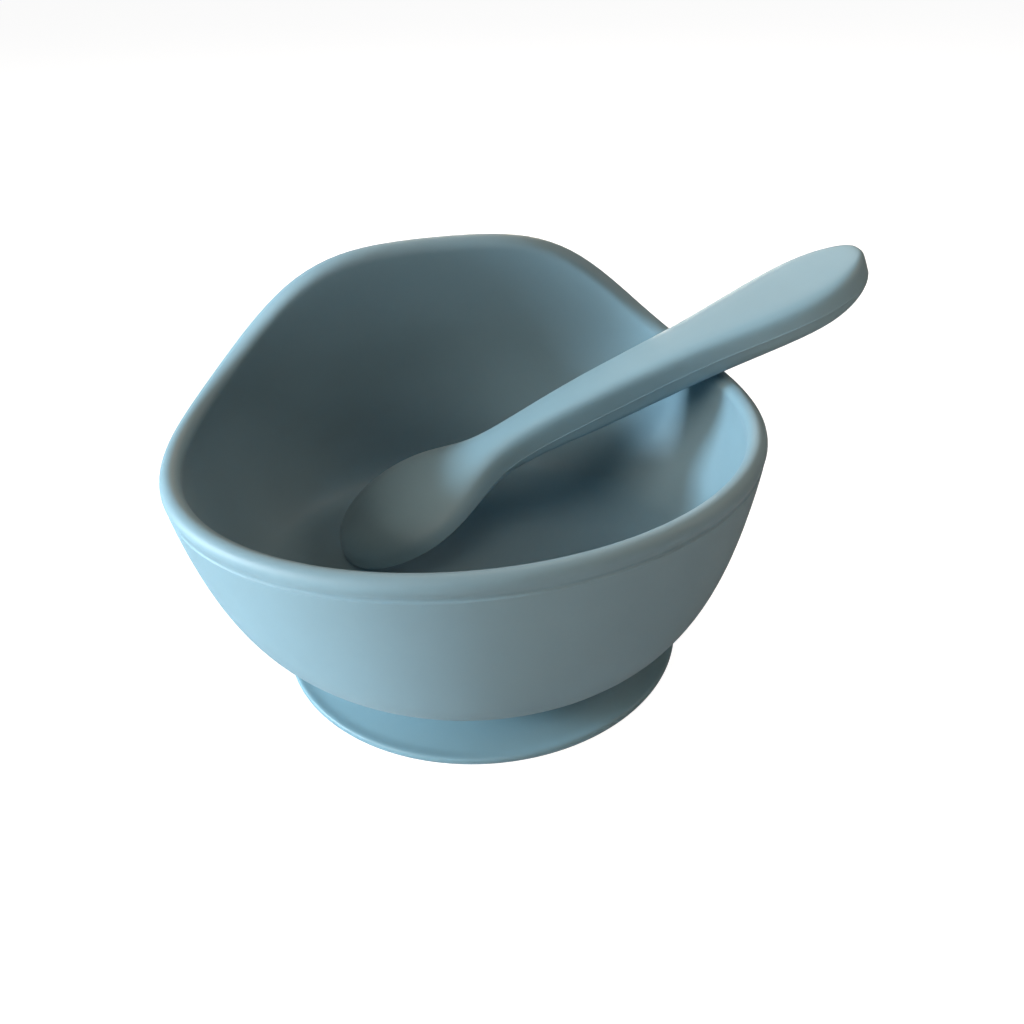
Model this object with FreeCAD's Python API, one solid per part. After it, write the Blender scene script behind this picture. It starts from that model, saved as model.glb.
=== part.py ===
"""Suction bowl for a baby: an oval silicone bowl with a raised, leaning scoop at its back,
on a silicone suction base, with an over-moulded spoon resting in it.

Millimetres. +Z is up and the table is z = 0. The scoop is at +Y, and the spoon's handle
leaves over the rim at +X. The origin is on the table, in the middle of the suction base.
"""
import FreeCAD, Part
import math
import os

Vector = FreeCAD.Vector

# ---- bowl: plan and height of the rim
rim_width = 120.0
rim_depth = 96.6
rim_shift = 1.4                 # the rim's oval lies this far towards the scoop
rim_height = 46.4               # at the front and the sides
bead_radius = 2.0               # the round roll along the rim
ledge_drop = 4.2                # from the rim's top down to the thin ledge under the roll
ledge_inset = 0.35              # how far the wall there lies inside the roll's outside

# ---- bowl: the scoop, a bell-shaped rise of the rim around +Y
scoop_rise = 31.2
scoop_half_angle = 45.8         # degrees from +Y to where half of the rise is left
scoop_sharpness = 4.16
scoop_lean = 0.50               # the scoop leans inwards by this share of its rise

# ---- bowl: wall and foot
foot_radius = 43.9              # where the underside turns up into the wall
foot_height = 12.9
underside_height = 11.5
underside_radius = 33.0
wall_thickness = 2.6
floor_thickness = 4.0
floor_radius = 31.0
floor_blend = 0.4               # the floor's edge starts to rise by this much into the wall

# ---- suction base
lip_radius = 42.5
lip_thickness = 1.0
lip_chamfer = 0.3
lip_land = 1.1                  # width of the flat ring that seals on the table
neck_radius = 24.0
cup_depth = 5.6                 # height of the hollow under the base
stud_radius = 14.0
stud_height = 2.0
stud_chamfer = 0.5
fit_gap = 0.15                  # around the stud, in the bowl's socket

# ---- spoon
spoon_length = 127.6
spoon_tip = Vector(-27.9, 11.4, 17.0)
spoon_heading = -0.4            # degrees from +X towards +Y
spoon_pitch = 25.2              # degrees that the handle rises
spoon_bank = 4.7                # degrees that the spoon's scoop side is raised
spoon_rest = 92.0               # from the tip to where the handle rests on the rim
spine_arch = 1.33               # how far the spoon's middle line arches before that place
spine_lift = 0.8                # how far the handle's end curls up beyond it
head_power = 0.86               # the section's roundness: 1 is an ellipse, less is squarer
handle_power = 0.42
head_end = 30.0                 # where the head's round section starts to turn square
handle_start = 55.0             # where the handle's square section is reached
core_start = 48.0               # the stiff insert, measured from the spoon's tip
core_end = 112.0
core_width = 6.0
core_thickness = 2.4
core_height = 2.5               # of the bar's near end, above the parting line's ends
core_tilt = 2.25                # degrees that the bar falls towards the handle's end
core_gap = 0.05

# ---- how finely the free-form surfaces are controlled
bowl_columns = 36
spoon_columns = 20


def smooth_surface(rows):
    """A cubic surface over closed rows of control points, each row as long as the next."""
    columns = len(rows[0])
    poles = [[row[i] for row in rows] for i in range(columns)]
    surface = Part.BSplineSurface()
    surface.buildFromPolesMultsKnots(
        poles,
        [1] * (columns + 1), [4] + [1] * (len(rows) - 4) + [4],
        list(range(columns + 1)), list(range(len(rows) - 2)),
        True, False, 3, 3)
    return surface


def closed_solid(rows):
    """The solid inside smooth_surface(rows), closed by a flat face over each end row."""
    surface = smooth_surface(rows)
    first_v, last_v = surface.bounds()[2:4]
    faces = [surface.toShape()]
    for end_v in (first_v, last_v):
        faces.append(Part.Face(Part.Wire([surface.vIso(end_v).toShape()])))
    shell = Part.makeShell(faces)
    shell.sewShape()
    solid = Part.makeSolid(shell)
    if solid.Volume < 0:
        solid.reverse()
    return solid


def hull_gain(columns):
    """How far a closed cubic row has to stand out for its curve to reach the wanted radius."""
    return 3.0 / (2.0 + math.cos(2.0 * math.pi / columns))


def mix(a, b, share):
    return a + (b - a) * share


def bezier(points, t):
    """A point on the cubic through the first and last of four (r, z) points."""
    weights = ((1 - t) ** 3, 3 * (1 - t) ** 2 * t, 3 * (1 - t) * t ** 2, t ** 3)
    return tuple(sum(w * p[axis] for w, p in zip(weights, points)) for axis in (0, 1))


# ------------------------------------------------------------------ bowl
half_width = rim_width / 2
half_depth = rim_depth / 2
wall_curve = (
    (foot_radius, foot_height),
    (foot_radius + 6.3, foot_height + 1.4),
    (half_width - 4.0, rim_height - 24.5),
    (half_width - ledge_inset, rim_height - ledge_drop),
)


def scoop_height(psi):
    """How far the rim stands above its front height, psi radians round from +Y."""
    turn = abs(math.degrees(math.atan2(math.sin(psi), math.cos(psi))))
    return scoop_rise / (1.0 + (turn / scoop_half_angle) ** scoop_sharpness)


def bowl_row(radius, inset, height, climb):
    """Control points for one ring of the bowl, the first at +Y.

    radius belongs to the outside of the round version of the bowl. The plan turns from a
    circle at the foot to the rim's oval as that radius grows, and the row lies inset inside
    it. climb runs from 0 at the foot to 1 at the rim, and says how much of the scoop's rise
    and lean acts on the row, on top of height.
    """
    oval = min(max((radius - foot_radius) / (half_width - foot_radius), 0.0), 1.0)
    gain = hull_gain(bowl_columns)
    reach_x = gain * (radius - inset)
    reach_y = gain * (radius * mix(1.0, half_depth / half_width, oval) - inset)
    row = []
    for i in range(bowl_columns):
        psi = 2.0 * math.pi * i / bowl_columns
        rise = scoop_height(psi)
        lean = scoop_lean * rise * climb ** 2.2
        row.append(Vector(reach_x * math.sin(psi),
                          (reach_y - lean) * math.cos(psi) + rim_shift * oval,
                          height + rise * climb ** 1.25))
    return row


def wall_row(t, depth):
    """A row on the wall at t, from foot to rim, at depth under its outside."""
    r, z = bezier(wall_curve, t)
    ahead_r, ahead_z = bezier(wall_curve, t + 0.001)
    run, climb = ahead_r - r, ahead_z - z
    length = math.hypot(run, climb)
    return bowl_row(r, depth * climb / length, z + depth * run / length, t)


def bead_row(angle):
    """A row on the rim's roll, at an angle in degrees up from straight outwards."""
    reach = bead_radius * hull_gain(8)
    inset = bead_radius - reach * math.cos(math.radians(angle))
    height = rim_height - bead_radius + reach * math.sin(math.radians(angle))
    return bowl_row(half_width, inset, height, 1.0)


def ledge_rows():
    """The thin ledge and the groove between the top of the wall and the rim's roll."""
    steps = ((ledge_inset + 0.03, ledge_drop - 0.2), (ledge_inset + 0.25, ledge_drop - 0.35))
    return [bowl_row(half_width, inset, rim_height - drop, 1.0) for inset, drop in steps]


def make_bowl_body():
    floor = underside_height + floor_thickness
    rows = [bowl_row(radius, 0.0, underside_height, 0.0)
            for radius in (underside_radius - 5.0, underside_radius,
                           mix(underside_radius, foot_radius, 0.6))]
    rows += [wall_row(t, 0.0) for t in (0.0, 0.12, 0.26, 0.42, 0.58, 0.72, 0.85, 0.94, 0.99, 1.0)]
    rows += ledge_rows()
    rows += [bead_row(angle) for angle in (-45, 0, 45, 90, 135, 180, 225)]
    rows += [wall_row(t, wall_thickness) for t in (0.91, 0.82, 0.70, 0.56, 0.42, 0.28)]
    rows += [wall_row(0.14, wall_thickness + 0.3),
             bowl_row(foot_radius, 2.0, floor + floor_blend, 0.0)]
    rows += [bowl_row(radius, 0.0, floor, 0.0)
             for radius in (mix(floor_radius, foot_radius, 0.4), floor_radius, floor_radius - 5.0)]
    socket = Part.makeCylinder(stud_radius + fit_gap, stud_height + fit_gap,
                               Vector(0, 0, underside_height))
    return closed_solid(rows).cut(socket)


# ------------------------------------------------------------------ suction base
def curve(points):
    spline = Part.BSplineCurve()
    spline.interpolate([Vector(r, 0, z) for r, z in points])
    return spline.toShape()


def line(start, end):
    return Part.makeLine(Vector(start[0], 0, start[1]), Vector(end[0], 0, end[1]))


def make_suction_base():
    """The cup with its sealing lip, turned round the axis from its outline."""
    seat = underside_height - fit_gap
    top = seat + stud_height
    lip_foot = (lip_radius - lip_chamfer, 0.0)
    lip_edge = (lip_radius, lip_chamfer)
    lip_top = (lip_radius, lip_thickness)
    neck_top = (neck_radius, seat)
    stud_foot = (stud_radius, seat)
    stud_shoulder = (stud_radius, top - stud_chamfer)
    stud_edge = (stud_radius - stud_chamfer, top)
    stud_middle = (0.0, top)
    cup_top = (0.0, cup_depth)
    lip_inside = (lip_radius - lip_chamfer - lip_land, 0.0)
    edges = [
        line(lip_foot, lip_edge),
        line(lip_edge, lip_top),
        curve([lip_top, (38.0, 2.5), (32.0, 5.2), (26.5, 8.6), neck_top]),
        line(neck_top, stud_foot),
        line(stud_foot, stud_shoulder),
        line(stud_shoulder, stud_edge),
        line(stud_edge, stud_middle),
        line(stud_middle, cup_top),
        curve([cup_top, (14.0, 5.2), (28.0, 3.2), (36.0, 1.5), lip_inside]),
        line(lip_inside, lip_foot),
    ]
    outline = Part.Face(Part.Wire(Part.__sortEdges__(edges)))
    return outline.revolve(Vector(0, 0, 0), Vector(0, 0, 1), 360)


# ------------------------------------------------------------------ spoon
# The spoon lies face down: its hollow opens downwards. Each station has the distance from
# the tip, the half width, the height above the parting line, the depth below it, and how
# deep the hollow of the head is pressed into the underside.
spoon_stations = (
    (0.0, 2.0, 0.6, 0.6, 0.0),
    (0.01, 3.1, 1.2, 1.2, 0.0),
    (1.2, 6.2, 3.9, 1.9, 0.0),
    (4.8, 10.7, 5.6, 2.2, 2.6),
    (11.5, 14.6, 6.5, 2.3, 5.2),
    (20.0, 15.8, 6.0, 2.5, 5.6),
    (28.0, 13.0, 5.3, 2.6, 4.6),
    (34.5, 7.9, 5.3, 2.3, 2.0),
    (41.0, 4.8, 5.9, 2.1, 0.0),
    (50.0, 4.5, 6.0, 2.7, 0.0),
    (61.0, 5.2, 5.9, 3.7, 0.0),
    (74.5, 5.8, 5.5, 4.2, 0.0),
    (88.0, 6.5, 5.0, 4.4, 0.0),
    (101.0, 8.7, 4.7, 4.1, 0.0),
    (112.5, 9.9, 4.3, 3.3, 0.0),
    (121.0, 7.9, 4.0, 2.4, 0.0),
    (126.0, 4.2, 3.8, 1.9, 0.0),
    (spoon_length - 0.01, 2.0, 2.8, 1.3, 0.0),
    (spoon_length, 1.2, 1.0, 0.7, 0.0),
)


def spine_height(distance):
    """The parting line: arched as far as the rest on the rim, straight on, then curling up."""
    if distance < spoon_rest:
        return spine_arch * math.sin(math.pi * distance / spoon_rest)
    beyond = (distance - spoon_rest) / (spoon_length - spoon_rest)
    fall = spine_arch * math.pi * (distance - spoon_rest) / spoon_rest
    return spine_lift * beyond ** 2 - fall


def signed_power(value, power):
    return math.copysign(abs(value) ** power, value)


def spoon_row(distance, half_width_here, above, below, hollow):
    """Control points round the spoon's section at a distance from its tip."""
    gain = hull_gain(spoon_columns)
    squarer = min(max((distance - head_end) / (handle_start - head_end), 0.0), 1.0)
    power = mix(head_power, handle_power, squarer)
    row = []
    for i in range(spoon_columns):
        angle = 2.0 * math.pi * i / spoon_columns
        across = signed_power(round(math.cos(angle), 6), power)
        up = signed_power(round(math.sin(angle), 6), power)
        z = gain * (above if up > 0 else below) * up
        if up < 0:
            z += hollow * (1.0 - across * across) ** 1.2
        row.append(Vector(distance, gain * half_width_here * across, spine_height(distance) + z))
    return row


def place_spoon(shape):
    """Carries a shape from the spoon's own frame, tip at the origin, to where it rests."""
    placed = shape.copy()
    origin = Vector(0, 0, 0)
    placed.rotate(origin, Vector(1, 0, 0), spoon_bank)
    placed.rotate(origin, Vector(0, 1, 0), -spoon_pitch)
    placed.rotate(origin, Vector(0, 0, 1), spoon_heading)
    placed.translate(spoon_tip)
    return placed


def core_bar(gap):
    """The stiff bar in the handle, grown by gap on every side, with round ends."""
    width = core_width + 2 * gap
    thickness = core_thickness + 2 * gap
    length = core_end - core_start - core_width
    bar = Part.makeBox(length, width, thickness, Vector(0, -width / 2, -thickness / 2))
    ends = [Part.makeCylinder(width / 2, thickness, Vector(along, 0, -thickness / 2))
            for along in (0, length)]
    bar = bar.fuse(ends).removeSplitter()
    bar.rotate(Vector(0, 0, 0), Vector(0, 1, 0), core_tilt)
    bar.translate(Vector(core_start + core_width / 2, 0, core_height))
    return bar


def make_spoon():
    outside = closed_solid([spoon_row(*station) for station in spoon_stations])
    skin = outside.cut(core_bar(core_gap))
    return place_spoon(skin), place_spoon(core_bar(0.0))


# ------------------------------------------------------------------ all the parts
def main():
    os.makedirs("parts", exist_ok=True)
    spoon_skin, spoon_core = make_spoon()
    nodes = {
        "bowl_body": make_bowl_body(),
        "suction_base": make_suction_base(),
        "spoon_skin": spoon_skin,
        "spoon_core": spoon_core,
    }
    for name, shape in nodes.items():
        solids = shape.Solids
        assert len(solids) == 1 and solids[0].isValid() and solids[0].isClosed(), name
        solids[0].exportStep("parts/" + name + ".step")
        box = shape.BoundBox
        print(name, "volume", round(shape.Volume), "box", round(box.XMin, 1), round(box.XMax, 1),
              round(box.YMin, 1), round(box.YMax, 1), round(box.ZMin, 1), round(box.ZMax, 1))


main()
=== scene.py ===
"""The looks of the suction bowl: smooth silicone meshes, soft light and the camera.

The bowl, its suction base and the spoon's skin are rebuilt here as subdivision surfaces with
their rim roll, parting lines and sealing lip. Lengths are in millimetres until a mesh is
made. The scoop is at +Y, and the spoon's handle leaves over the rim at +X.
"""
import math

import bpy
from mathutils import Matrix, Vector


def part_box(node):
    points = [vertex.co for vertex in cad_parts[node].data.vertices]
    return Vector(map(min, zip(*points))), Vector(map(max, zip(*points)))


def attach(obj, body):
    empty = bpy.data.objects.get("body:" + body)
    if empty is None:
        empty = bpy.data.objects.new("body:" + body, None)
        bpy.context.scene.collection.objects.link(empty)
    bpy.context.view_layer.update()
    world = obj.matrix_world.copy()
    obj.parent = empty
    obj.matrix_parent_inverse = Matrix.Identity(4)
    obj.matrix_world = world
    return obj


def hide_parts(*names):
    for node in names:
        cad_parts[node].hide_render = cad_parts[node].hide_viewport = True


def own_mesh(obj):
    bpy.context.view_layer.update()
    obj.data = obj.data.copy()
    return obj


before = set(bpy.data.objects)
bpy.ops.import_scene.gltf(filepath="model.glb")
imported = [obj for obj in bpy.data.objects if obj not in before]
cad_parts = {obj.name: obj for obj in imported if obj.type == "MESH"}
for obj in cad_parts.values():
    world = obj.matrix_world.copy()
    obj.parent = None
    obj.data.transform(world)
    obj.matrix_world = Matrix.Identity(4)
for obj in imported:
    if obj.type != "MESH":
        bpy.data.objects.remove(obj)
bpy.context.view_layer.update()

MM = 0.001

# ---- sizes read from the frame
bowl_low, bowl_high = (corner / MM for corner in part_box("bowl_body"))
base_low, base_high = (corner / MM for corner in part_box("suction_base"))
half_width = (bowl_high.x - bowl_low.x) / 2
half_depth = 0.805 * half_width
underside_height = bowl_low.z
lip_radius = (base_high.x - base_low.x) / 2
stud_top = base_high.z

# ---- bowl
rim_shift = 1.4
rim_height = 46.4
bead_radius = 2.0
ledge_drop = 4.2
ledge_inset = 0.35
scoop_rise = bowl_high.z - rim_height
scoop_half_angle = 45.8
scoop_sharpness = 4.16
scoop_lean = 0.50
lean_growth = 2.2               # how late in the wall's climb the scoop leans in
rise_growth = 1.25              # and how late it rises
foot_radius = 43.9
foot_height = underside_height + 1.4
underside_radius = 33.0
wall_thickness = 2.6
floor_height = underside_height + 4.0
floor_radius = 31.0
floor_blend = 0.4
socket_radius = 14.15
socket_depth = 2.15
bowl_columns = 36
bead_steps = 8

# ---- suction base
fit_gap = 0.15
seat_height = underside_height - fit_gap
neck_radius = 24.0
cup_depth = 5.6
stud_radius = 14.0
base_columns = 48

# ---- spoon
spoon_length = 127.2
spoon_tip = Vector((-27.9, 11.4, 17.0))
spoon_heading = -0.4
spoon_pitch = 25.2
spoon_bank = 4.7
spoon_rest = 92.0
spine_arch = 1.33
spine_dip = 0.017
head_power = 0.86
handle_power = 0.42
head_end = 30.0
handle_start = 55.0
hollow_power = 1.2
section_steps = 20
seam_rise = 0.10                # the parting line's thin ridge
seam_turns = (-3.0, -1.0, 0.0, 1.0, 3.0)

# ---- camera
camera_place = Vector((-29.9, -164.55, 135.65))
camera_aim = Vector((6.6, -4.2, 30.6))
camera_roll = -1.67
camera_lens = 33.4

# ---- room and lights, in metres
room_reach = 6.0
room_height = 4.0
lights_aim = Vector((0.0, 0.0, 0.035))
lights_distance = 0.80


# ------------------------------------------------------------------ mesh helpers
def mix(a, b, share):
    return a + (b - a) * share


def hull_gain(columns):
    """How far a closed cubic row has to stand out for its curve to reach the wanted radius."""
    return 3.0 / (2.0 + math.cos(2.0 * math.pi / columns))


def lofted_piece(name, rows, levels=2):
    """A closed, smooth piece through rows of points, each row a ring, both ends capped."""
    columns = len(rows[0])
    vertices = [Vector(point) * MM for row in rows for point in row]
    faces = []
    for r in range(len(rows) - 1):
        for c in range(columns):
            d = (c + 1) % columns
            faces.append((r * columns + c, r * columns + d,
                          (r + 1) * columns + d, (r + 1) * columns + c))
    last = (len(rows) - 1) * columns
    faces.append(tuple(reversed(range(columns))))
    faces.append(tuple(range(last, last + columns)))
    mesh = bpy.data.meshes.new(name + "_cage")
    mesh.from_pydata(vertices, [], faces)
    mesh.validate()
    cage = bpy.data.objects.new(name + "_cage", mesh)
    bpy.context.scene.collection.objects.link(cage)
    smooth = cage.modifiers.new("smooth", "SUBSURF")
    smooth.levels = levels
    smooth.render_levels = levels
    evaluated = cage.evaluated_get(bpy.context.evaluated_depsgraph_get())
    final = bpy.data.meshes.new_from_object(evaluated)
    final.name = name
    bpy.data.objects.remove(cage)
    bpy.data.meshes.remove(mesh)
    point_outwards(final)
    final.shade_smooth()
    piece = bpy.data.objects.new(name, final)
    bpy.context.scene.collection.objects.link(piece)
    return piece


def point_outwards(mesh):
    """Turns every face round if the closed mesh is inside out."""
    volume = 0.0
    mesh.calc_loop_triangles()
    for triangle in mesh.loop_triangles:
        a, b, c = (mesh.vertices[i].co for i in triangle.vertices)
        volume += a.dot(b.cross(c))
    if volume < 0.0:
        mesh.flip_normals()


# ------------------------------------------------------------------ bowl
wall_curve = (
    (foot_radius, foot_height),
    (foot_radius + 6.3, foot_height + 1.4),
    (half_width - 4.0, rim_height - 24.5),
    (half_width - ledge_inset, rim_height - ledge_drop),
)


def bezier(points, t):
    weights = ((1 - t) ** 3, 3 * (1 - t) ** 2 * t, 3 * (1 - t) * t ** 2, t ** 3)
    return tuple(sum(w * p[axis] for w, p in zip(weights, points)) for axis in (0, 1))


def scoop_height(psi):
    """How far the rim stands above its front height, psi radians round from +Y."""
    turn = abs(math.degrees(math.atan2(math.sin(psi), math.cos(psi))))
    return scoop_rise / (1.0 + (turn / scoop_half_angle) ** scoop_sharpness)


def bowl_row(radius, inset, height, climb):
    """A ring of the bowl: round at the foot, oval at the rim, raised and leaning at +Y."""
    oval = min(max((radius - foot_radius) / (half_width - foot_radius), 0.0), 1.0)
    gain = hull_gain(bowl_columns)
    reach_x = gain * (radius - inset)
    reach_y = gain * (radius * mix(1.0, half_depth / half_width, oval) - inset)
    row = []
    for i in range(bowl_columns):
        psi = 2.0 * math.pi * i / bowl_columns
        rise = scoop_height(psi)
        lean = scoop_lean * rise * climb ** lean_growth
        row.append((reach_x * math.sin(psi),
                    (reach_y - lean) * math.cos(psi) + rim_shift * oval,
                    height + rise * climb ** rise_growth))
    return row


def wall_row(t, depth):
    """A ring of the wall at t, from foot to rim, at depth under its outside."""
    r, z = bezier(wall_curve, t)
    ahead_r, ahead_z = bezier(wall_curve, t + 0.001)
    run, climb = ahead_r - r, ahead_z - z
    length = math.hypot(run, climb)
    return bowl_row(r, depth * climb / length, z + depth * run / length, t)


def bead_row(angle):
    """A ring of the rim's roll, at an angle in degrees up from straight outwards."""
    reach = bead_radius * hull_gain(bead_steps)
    inset = bead_radius - reach * math.cos(math.radians(angle))
    height = rim_height - bead_radius + reach * math.sin(math.radians(angle))
    return bowl_row(half_width, inset, height, 1.0)


def ledge_rows():
    """The thin ledge and the groove between the top of the wall and the rim's roll."""
    steps = ((0.0, 0.08), (0.01, 0.16), (0.05, 0.22), (0.07, 0.32), (0.06, 0.48))
    return [bowl_row(half_width, ledge_inset + inset, rim_height - ledge_drop + rise, 1.0)
            for inset, rise in steps]


def make_bowl():
    """The bowl, from the socket out over its foot, up the wall, over the rim and down inside."""
    socket_top = underside_height + socket_depth
    rows = [bowl_row(radius, 0.0, socket_top, 0.0) for radius in (3.0, 8.0, 13.4, 14.0)]
    rows += [bowl_row(socket_radius, 0.0, height, 0.0)
             for height in (socket_top - 0.2, socket_top - 0.7, underside_height + 0.6)]
    rows += [bowl_row(radius, 0.0, underside_height, 0.0)
             for radius in (14.4, 15.2, 22.0, 28.0, underside_radius,
                            mix(underside_radius, foot_radius, 0.6))]
    rows += [wall_row(t, 0.0)
             for t in (0.0, 0.12, 0.26, 0.42, 0.58, 0.72, 0.85, 0.94, 0.98, 0.995, 1.0)]
    rows += ledge_rows()
    rows += [bead_row(360.0 / bead_steps * step) for step in range(-1, 6)]
    rows += [wall_row(t, wall_thickness) for t in (0.91, 0.82, 0.70, 0.56, 0.42, 0.28)]
    rows += [wall_row(0.14, wall_thickness + 0.3),
             bowl_row(foot_radius, 2.0, floor_height + floor_blend, 0.0)]
    rows += [bowl_row(radius, 0.0, floor_height, 0.0)
             for radius in (mix(floor_radius, foot_radius, 0.4), floor_radius, 20.0, 10.0, 3.0)]
    return lofted_piece("bowl", rows)


# ------------------------------------------------------------------ suction base
def round_row(radius, height):
    reach = radius * hull_gain(base_columns)
    turns = [2.0 * math.pi * i / base_columns for i in range(base_columns)]
    return [(reach * math.sin(turn), reach * math.cos(turn), height) for turn in turns]


def make_suction_base():
    """The cup, from the middle of its hollow round the lip and over the skirt to the stud."""
    outline = (
        (3.0, cup_depth), (10.0, 5.45), (18.0, 4.75), (26.0, 3.55), (33.0, 2.15),
        (lip_radius - 4.0, 0.9), (lip_radius - 1.8, 0.12),
        (lip_radius - 1.4, 0.0), (lip_radius - 0.8, 0.0), (lip_radius - 0.35, 0.0),
        (lip_radius, 0.15), (lip_radius + 0.05, 0.55), (lip_radius, 1.05),
        (lip_radius - 0.3, 1.36), (lip_radius - 0.8, 1.46), (lip_radius - 1.4, 1.5),
        (lip_radius - 2.1, 1.62), (lip_radius - 2.9, 1.9), (lip_radius - 4.5, 2.5),
        (34.0, 4.2), (30.0, 6.2), (26.8, 8.4), (24.7, 10.2), (neck_radius, 11.1),
        (23.8, seat_height), (23.0, seat_height), (18.0, seat_height), (14.6, seat_height),
        (stud_radius, seat_height + 0.2), (stud_radius, stud_top - 0.7),
        (stud_radius - 0.2, stud_top - 0.15), (stud_radius - 0.8, stud_top),
        (8.0, stud_top), (3.0, stud_top),
    )
    return lofted_piece("suction_cup", [round_row(r, z) for r, z in outline])


# ------------------------------------------------------------------ spoon
# Each station: distance from the tip, half width, height above the parting line, depth below
# it, and how deep the hollow of the head is pressed into the underside.
spoon_stations = (
    (0.0, 2.0, 0.6, 0.6, 0.0),
    (0.01, 3.1, 1.2, 1.2, 0.0),
    (1.2, 6.2, 3.9, 1.9, 0.0),
    (4.8, 10.7, 5.6, 2.2, 2.6),
    (11.5, 14.6, 6.5, 2.3, 5.2),
    (20.0, 15.8, 6.0, 2.5, 5.6),
    (28.0, 13.0, 5.3, 2.6, 4.6),
    (34.5, 7.9, 5.3, 2.3, 2.0),
    (41.0, 4.8, 5.9, 2.1, 0.0),
    (50.0, 4.5, 6.0, 2.7, 0.0),
    (61.0, 5.2, 5.9, 3.7, 0.0),
    (74.5, 5.8, 5.5, 4.2, 0.0),
    (88.0, 6.5, 5.0, 4.4, 0.0),
    (101.0, 8.7, 4.9, 4.2, 0.0),
    (112.5, 9.9, 4.9, 4.1, 0.0),
    (119.5, 8.6, 5.1, 2.9, 0.0),
    (124.0, 6.0, 5.2, 1.6, 0.0),
    (126.2, 3.6, 5.2, 0.8, 0.0),
    (spoon_length - 0.01, 1.9, 4.7, 0.2, 0.0),
    (spoon_length, 0.8, 3.6, 0.1, 0.0),
)
def section_angles():
    """Angles round the spoon's section: even steps, with close ones along both seams."""
    between = [360.0 / section_steps * k for k in range(1, section_steps // 2)]
    half = list(seam_turns[2:]) + between + [180.0 + turn for turn in seam_turns[:2]]
    return half + [180.0 + angle for angle in half]


def signed_power(value, power):
    return math.copysign(abs(value) ** power, value)


def spine_height(distance):
    """The parting line: arched as far as the rest on the rim, and straight beyond it."""
    if distance < spoon_rest:
        return spine_arch * math.sin(math.pi * distance / spoon_rest)
    return -(spine_arch * math.pi / spoon_rest + spine_dip) * (distance - spoon_rest)


def spoon_row(distance, half_width_here, above, below, hollow):
    """A ring round the spoon's section at a distance from its tip."""
    gain = hull_gain(section_steps)
    squarer = min(max((distance - head_end) / (handle_start - head_end), 0.0), 1.0)
    power = mix(head_power, handle_power, squarer)
    row = []
    for angle in section_angles():
        turn = math.radians(angle)
        off_seam = min(angle % 180.0, 180.0 - angle % 180.0)
        across = signed_power(math.cos(turn), power)
        up = signed_power(math.sin(turn), power)
        if off_seam < seam_turns[-1] + 0.5:
            up = math.sin(turn)
        reach = gain * half_width_here + (seam_rise if off_seam < 0.5 else 0.0)
        z = gain * (above if up > 0.0 else below) * up
        if up < 0.0:
            z += hollow * (1.0 - across * across) ** hollow_power
        row.append((distance, reach * across, spine_height(distance) + z))
    return row


def make_spoon():
    spoon = lofted_piece("spoon", [spoon_row(*station) for station in spoon_stations])
    bank = Matrix.Rotation(math.radians(spoon_bank), 4, "X")
    pitch = Matrix.Rotation(math.radians(-spoon_pitch), 4, "Y")
    heading = Matrix.Rotation(math.radians(spoon_heading), 4, "Z")
    spoon.data.transform(Matrix.Translation(spoon_tip * MM) @ heading @ pitch @ bank)
    return spoon


# ------------------------------------------------------------------ materials
def silicone(name, colour, roughness, grain, glow=0.12):
    """Moulded silicone: faint mottling, a satin skin with a fine grain, slightly translucent."""
    material = bpy.data.materials.new(name)
    material.use_nodes = True
    nodes = material.node_tree.nodes
    links = material.node_tree.links
    shader = nodes["Principled BSDF"]
    shader.inputs["IOR"].default_value = 1.41
    shader.inputs["Subsurface Weight"].default_value = glow
    shader.inputs["Subsurface Radius"].default_value = (0.7, 0.9, 1.0)
    shader.inputs["Subsurface Scale"].default_value = 1.6 * MM
    shader.inputs["Sheen Weight"].default_value = 0.08
    shader.inputs["Sheen Roughness"].default_value = 0.5
    place = nodes.new("ShaderNodeTexCoord")

    mottle = nodes.new("ShaderNodeTexNoise")
    mottle.inputs["Scale"].default_value = 45.0
    mottle.inputs["Detail"].default_value = 4.0
    links.new(place.outputs["Object"], mottle.inputs["Vector"])
    tint = nodes.new("ShaderNodeValToRGB")
    tint.color_ramp.elements[0].position = 0.3
    tint.color_ramp.elements[1].position = 0.7
    tint.color_ramp.elements[0].color = [c * 0.965 for c in colour] + [1.0]
    tint.color_ramp.elements[1].color = [min(c * 1.03, 1.0) for c in colour] + [1.0]
    links.new(mottle.outputs["Fac"], tint.inputs["Fac"])
    links.new(tint.outputs["Color"], shader.inputs["Base Color"])

    smear = nodes.new("ShaderNodeTexNoise")
    smear.inputs["Scale"].default_value = 160.0
    smear.inputs["Detail"].default_value = 6.0
    smear.inputs["Roughness"].default_value = 0.6
    links.new(place.outputs["Object"], smear.inputs["Vector"])
    skin = nodes.new("ShaderNodeMapRange")
    skin.inputs["To Min"].default_value = roughness - 0.06
    skin.inputs["To Max"].default_value = roughness + 0.06
    links.new(smear.outputs["Fac"], skin.inputs["Value"])
    links.new(skin.outputs["Result"], shader.inputs["Roughness"])

    fine = nodes.new("ShaderNodeTexNoise")
    fine.inputs["Scale"].default_value = 5200.0
    fine.inputs["Detail"].default_value = 2.0
    links.new(place.outputs["Object"], fine.inputs["Vector"])
    relief = nodes.new("ShaderNodeBump")
    relief.inputs["Strength"].default_value = grain
    relief.inputs["Distance"].default_value = 0.02 * MM
    links.new(fine.outputs["Fac"], relief.inputs["Height"])
    links.new(relief.outputs["Normal"], shader.inputs["Normal"])
    return material


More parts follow.
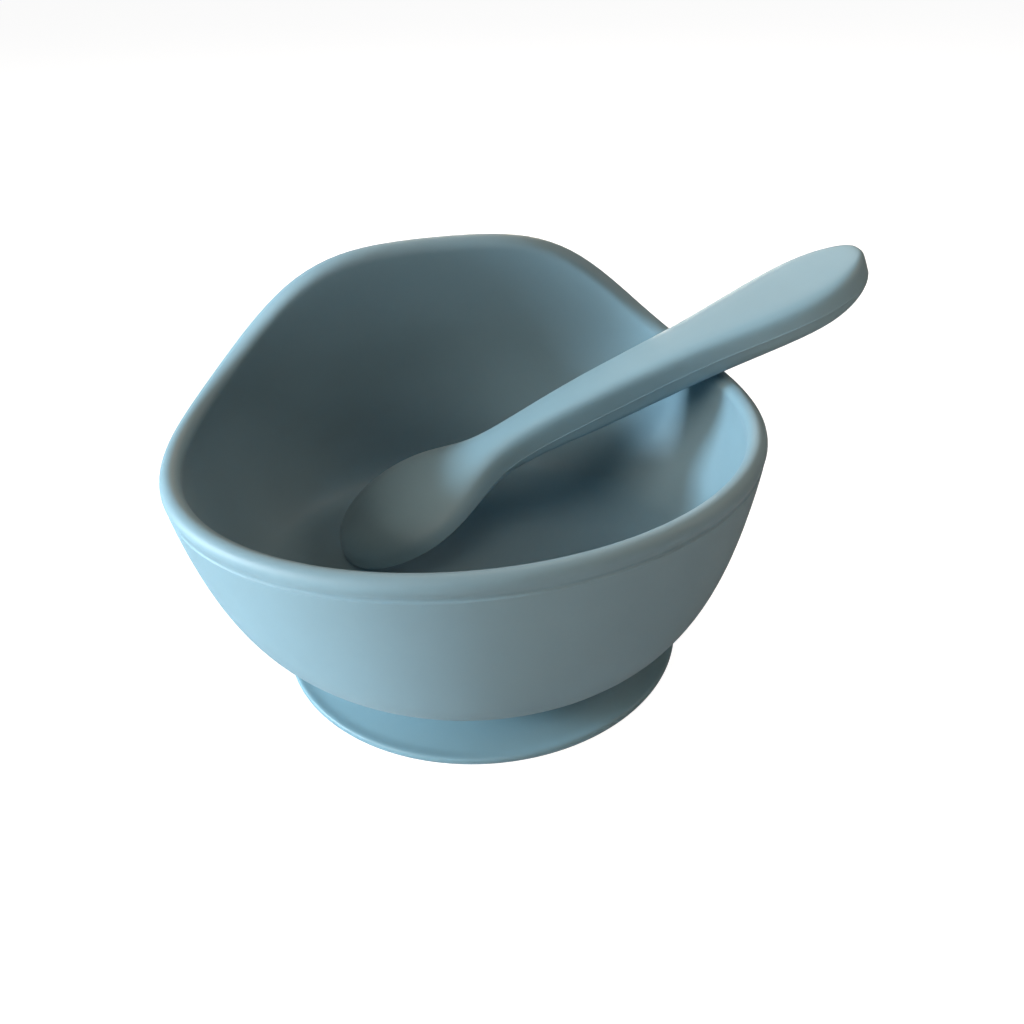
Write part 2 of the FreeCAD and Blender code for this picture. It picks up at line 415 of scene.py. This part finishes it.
def insert_nylon():
    """The uncoloured insert inside the handle, with the faint flow marks of moulded nylon."""
    material = bpy.data.materials.new("insert_nylon")
    material.use_nodes = True
    nodes = material.node_tree.nodes
    links = material.node_tree.links
    shader = nodes["Principled BSDF"]
    shader.inputs["IOR"].default_value = 1.53
    place = nodes.new("ShaderNodeTexCoord")
    flow = nodes.new("ShaderNodeTexNoise")
    flow.inputs["Scale"].default_value = 90.0
    links.new(place.outputs["Object"], flow.inputs["Vector"])
    tint = nodes.new("ShaderNodeValToRGB")
    tint.color_ramp.elements[0].color = (0.66, 0.66, 0.62, 1.0)
    tint.color_ramp.elements[1].color = (0.74, 0.74, 0.71, 1.0)
    links.new(flow.outputs["Fac"], tint.inputs["Fac"])
    links.new(tint.outputs["Color"], shader.inputs["Base Color"])
    skin = nodes.new("ShaderNodeMapRange")
    skin.inputs["To Min"].default_value = 0.42
    skin.inputs["To Max"].default_value = 0.55
    links.new(flow.outputs["Fac"], skin.inputs["Value"])
    links.new(skin.outputs["Result"], shader.inputs["Roughness"])
    return material


def dress(piece, material):
    piece.data.materials.clear()
    piece.data.materials.append(material)


# ------------------------------------------------------------------ the object
bowl = make_bowl()
dress(bowl, silicone("bowl_silicone", (0.175, 0.300, 0.365), 0.52, 0.25))
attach(bowl, "bowl")
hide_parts("bowl_body")

cup = make_suction_base()
dress(cup, silicone("base_silicone", (0.160, 0.300, 0.370), 0.46, 0.20, glow=0.2))
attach(cup, "base")
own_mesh(cup)
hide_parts("suction_base")

spoon = make_spoon()
dress(spoon, silicone("spoon_silicone", (0.180, 0.310, 0.375), 0.50, 0.25))
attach(spoon, "spoon")
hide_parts("spoon_skin")

dress(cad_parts["spoon_core"], insert_nylon())


# ------------------------------------------------------------------ floor, light and camera
def level_square(height):
    return [(-room_reach, -room_reach, height), (room_reach, -room_reach, height),
            (room_reach, room_reach, height), (-room_reach, room_reach, height)]


def stage_piece(name, corners, faces, colour, glow):
    mesh = bpy.data.meshes.new(name)
    mesh.from_pydata(corners, [], faces)
    piece = bpy.data.objects.new(name, mesh)
    bpy.context.scene.collection.objects.link(piece)
    material = bpy.data.materials.new(name)
    material.use_nodes = True
    shader = material.node_tree.nodes["Principled BSDF"]
    shader.inputs["Base Color"].default_value = (colour, colour, colour, 1.0)
    shader.inputs["Roughness"].default_value = 0.9
    shader.inputs["Specular IOR Level"].default_value = 0.1
    shader.inputs["Emission Color"].default_value = (1.0, 1.0, 1.0, 1.0)
    shader.inputs["Emission Strength"].default_value = glow
    piece.data.materials.append(material)
    return piece


def make_floor():
    """A pale floor and walls for the camera, and under them the plane that throws light back up."""
    square = [(0, 1, 2, 3)]
    floor = stage_piece("floor", level_square(0.0), square, 0.30, 0.95)
    walls = [(0, 1, 5, 4), (1, 2, 6, 5), (2, 3, 7, 6), (3, 0, 4, 7), (4, 5, 6, 7)]
    backdrop = stage_piece("backdrop", level_square(-0.001) + level_square(room_height),
                           walls, 0.02, 0.95)
    for seen_only in (floor, backdrop):
        seen_only.visible_diffuse = False
        seen_only.visible_glossy = False
        seen_only.visible_shadow = False
    bounce = stage_piece("floor_bounce", level_square(-0.0005), square, 0.80, 0.0)
    bounce.visible_camera = False
    bounce.visible_glossy = False


def soft_light(name, turn, elevation, width, height, power, colour):
    """An area light aimed at the bowl. turn is in degrees round from +X towards +Y."""
    lamp = bpy.data.lights.new(name, "AREA")
    lamp.shape = "RECTANGLE"
    lamp.size = width
    lamp.size_y = height
    lamp.energy = power
    lamp.color = colour
    light = bpy.data.objects.new(name, lamp)
    bpy.context.scene.collection.objects.link(light)
    flat = lights_distance * math.cos(math.radians(elevation))
    light.location = lights_aim + Vector((flat * math.cos(math.radians(turn)),
                                          flat * math.sin(math.radians(turn)),
                                          lights_distance * math.sin(math.radians(elevation))))
    light.rotation_euler = (lights_aim - light.location).to_track_quat("-Z", "Y").to_euler()


def make_world(colour, strength):
    world = bpy.data.worlds.new("room")
    bpy.context.scene.world = world
    world.use_nodes = True
    background = world.node_tree.nodes["Background"]
    background.inputs["Color"].default_value = (*colour, 1.0)
    background.inputs["Strength"].default_value = strength


def make_camera():
    lens = bpy.data.cameras.new("camera")
    lens.sensor_width = 36.0
    lens.lens = camera_lens
    lens.clip_start = 0.01
    camera = bpy.data.objects.new("camera", lens)
    bpy.context.scene.collection.objects.link(camera)
    place = camera_place * MM
    level = (camera_aim * MM - place).to_track_quat("-Z", "Y").to_matrix().to_4x4()
    roll = Matrix.Rotation(math.radians(camera_roll), 4, "Z")
    camera.matrix_world = Matrix.Translation(place) @ level @ roll
    bpy.context.scene.camera = camera


make_floor()
soft_light("window", 180.0, 14.0, 0.14, 0.08, 8.4, (0.76, 0.90, 1.0))
soft_light("window_glow", 171.0, 9.0, 0.28, 0.22, 3.6, (0.88, 0.96, 1.0))
soft_light("window_side", 204.0, 20.0, 0.34, 0.24, 3.9, (1.0, 0.82, 0.70))
soft_light("back_edge", 77.0, 12.0, 0.28, 0.20, 2.0, (1.0, 0.86, 0.72))
soft_light("back_sky", 70.0, 52.0, 0.40, 0.40, 2.5, (1.0, 0.80, 0.64))
soft_light("front_room", 248.0, 60.0, 0.40, 0.40, 1.4, (1.0, 0.74, 0.60))
soft_light("right_room", -15.0, 33.0, 0.30, 0.30, 1.3, (1.0, 0.74, 0.60))
make_world((0.9, 0.95, 1.0), 0.01)
make_camera()
bpy.context.scene.view_settings.view_transform = "Standard"
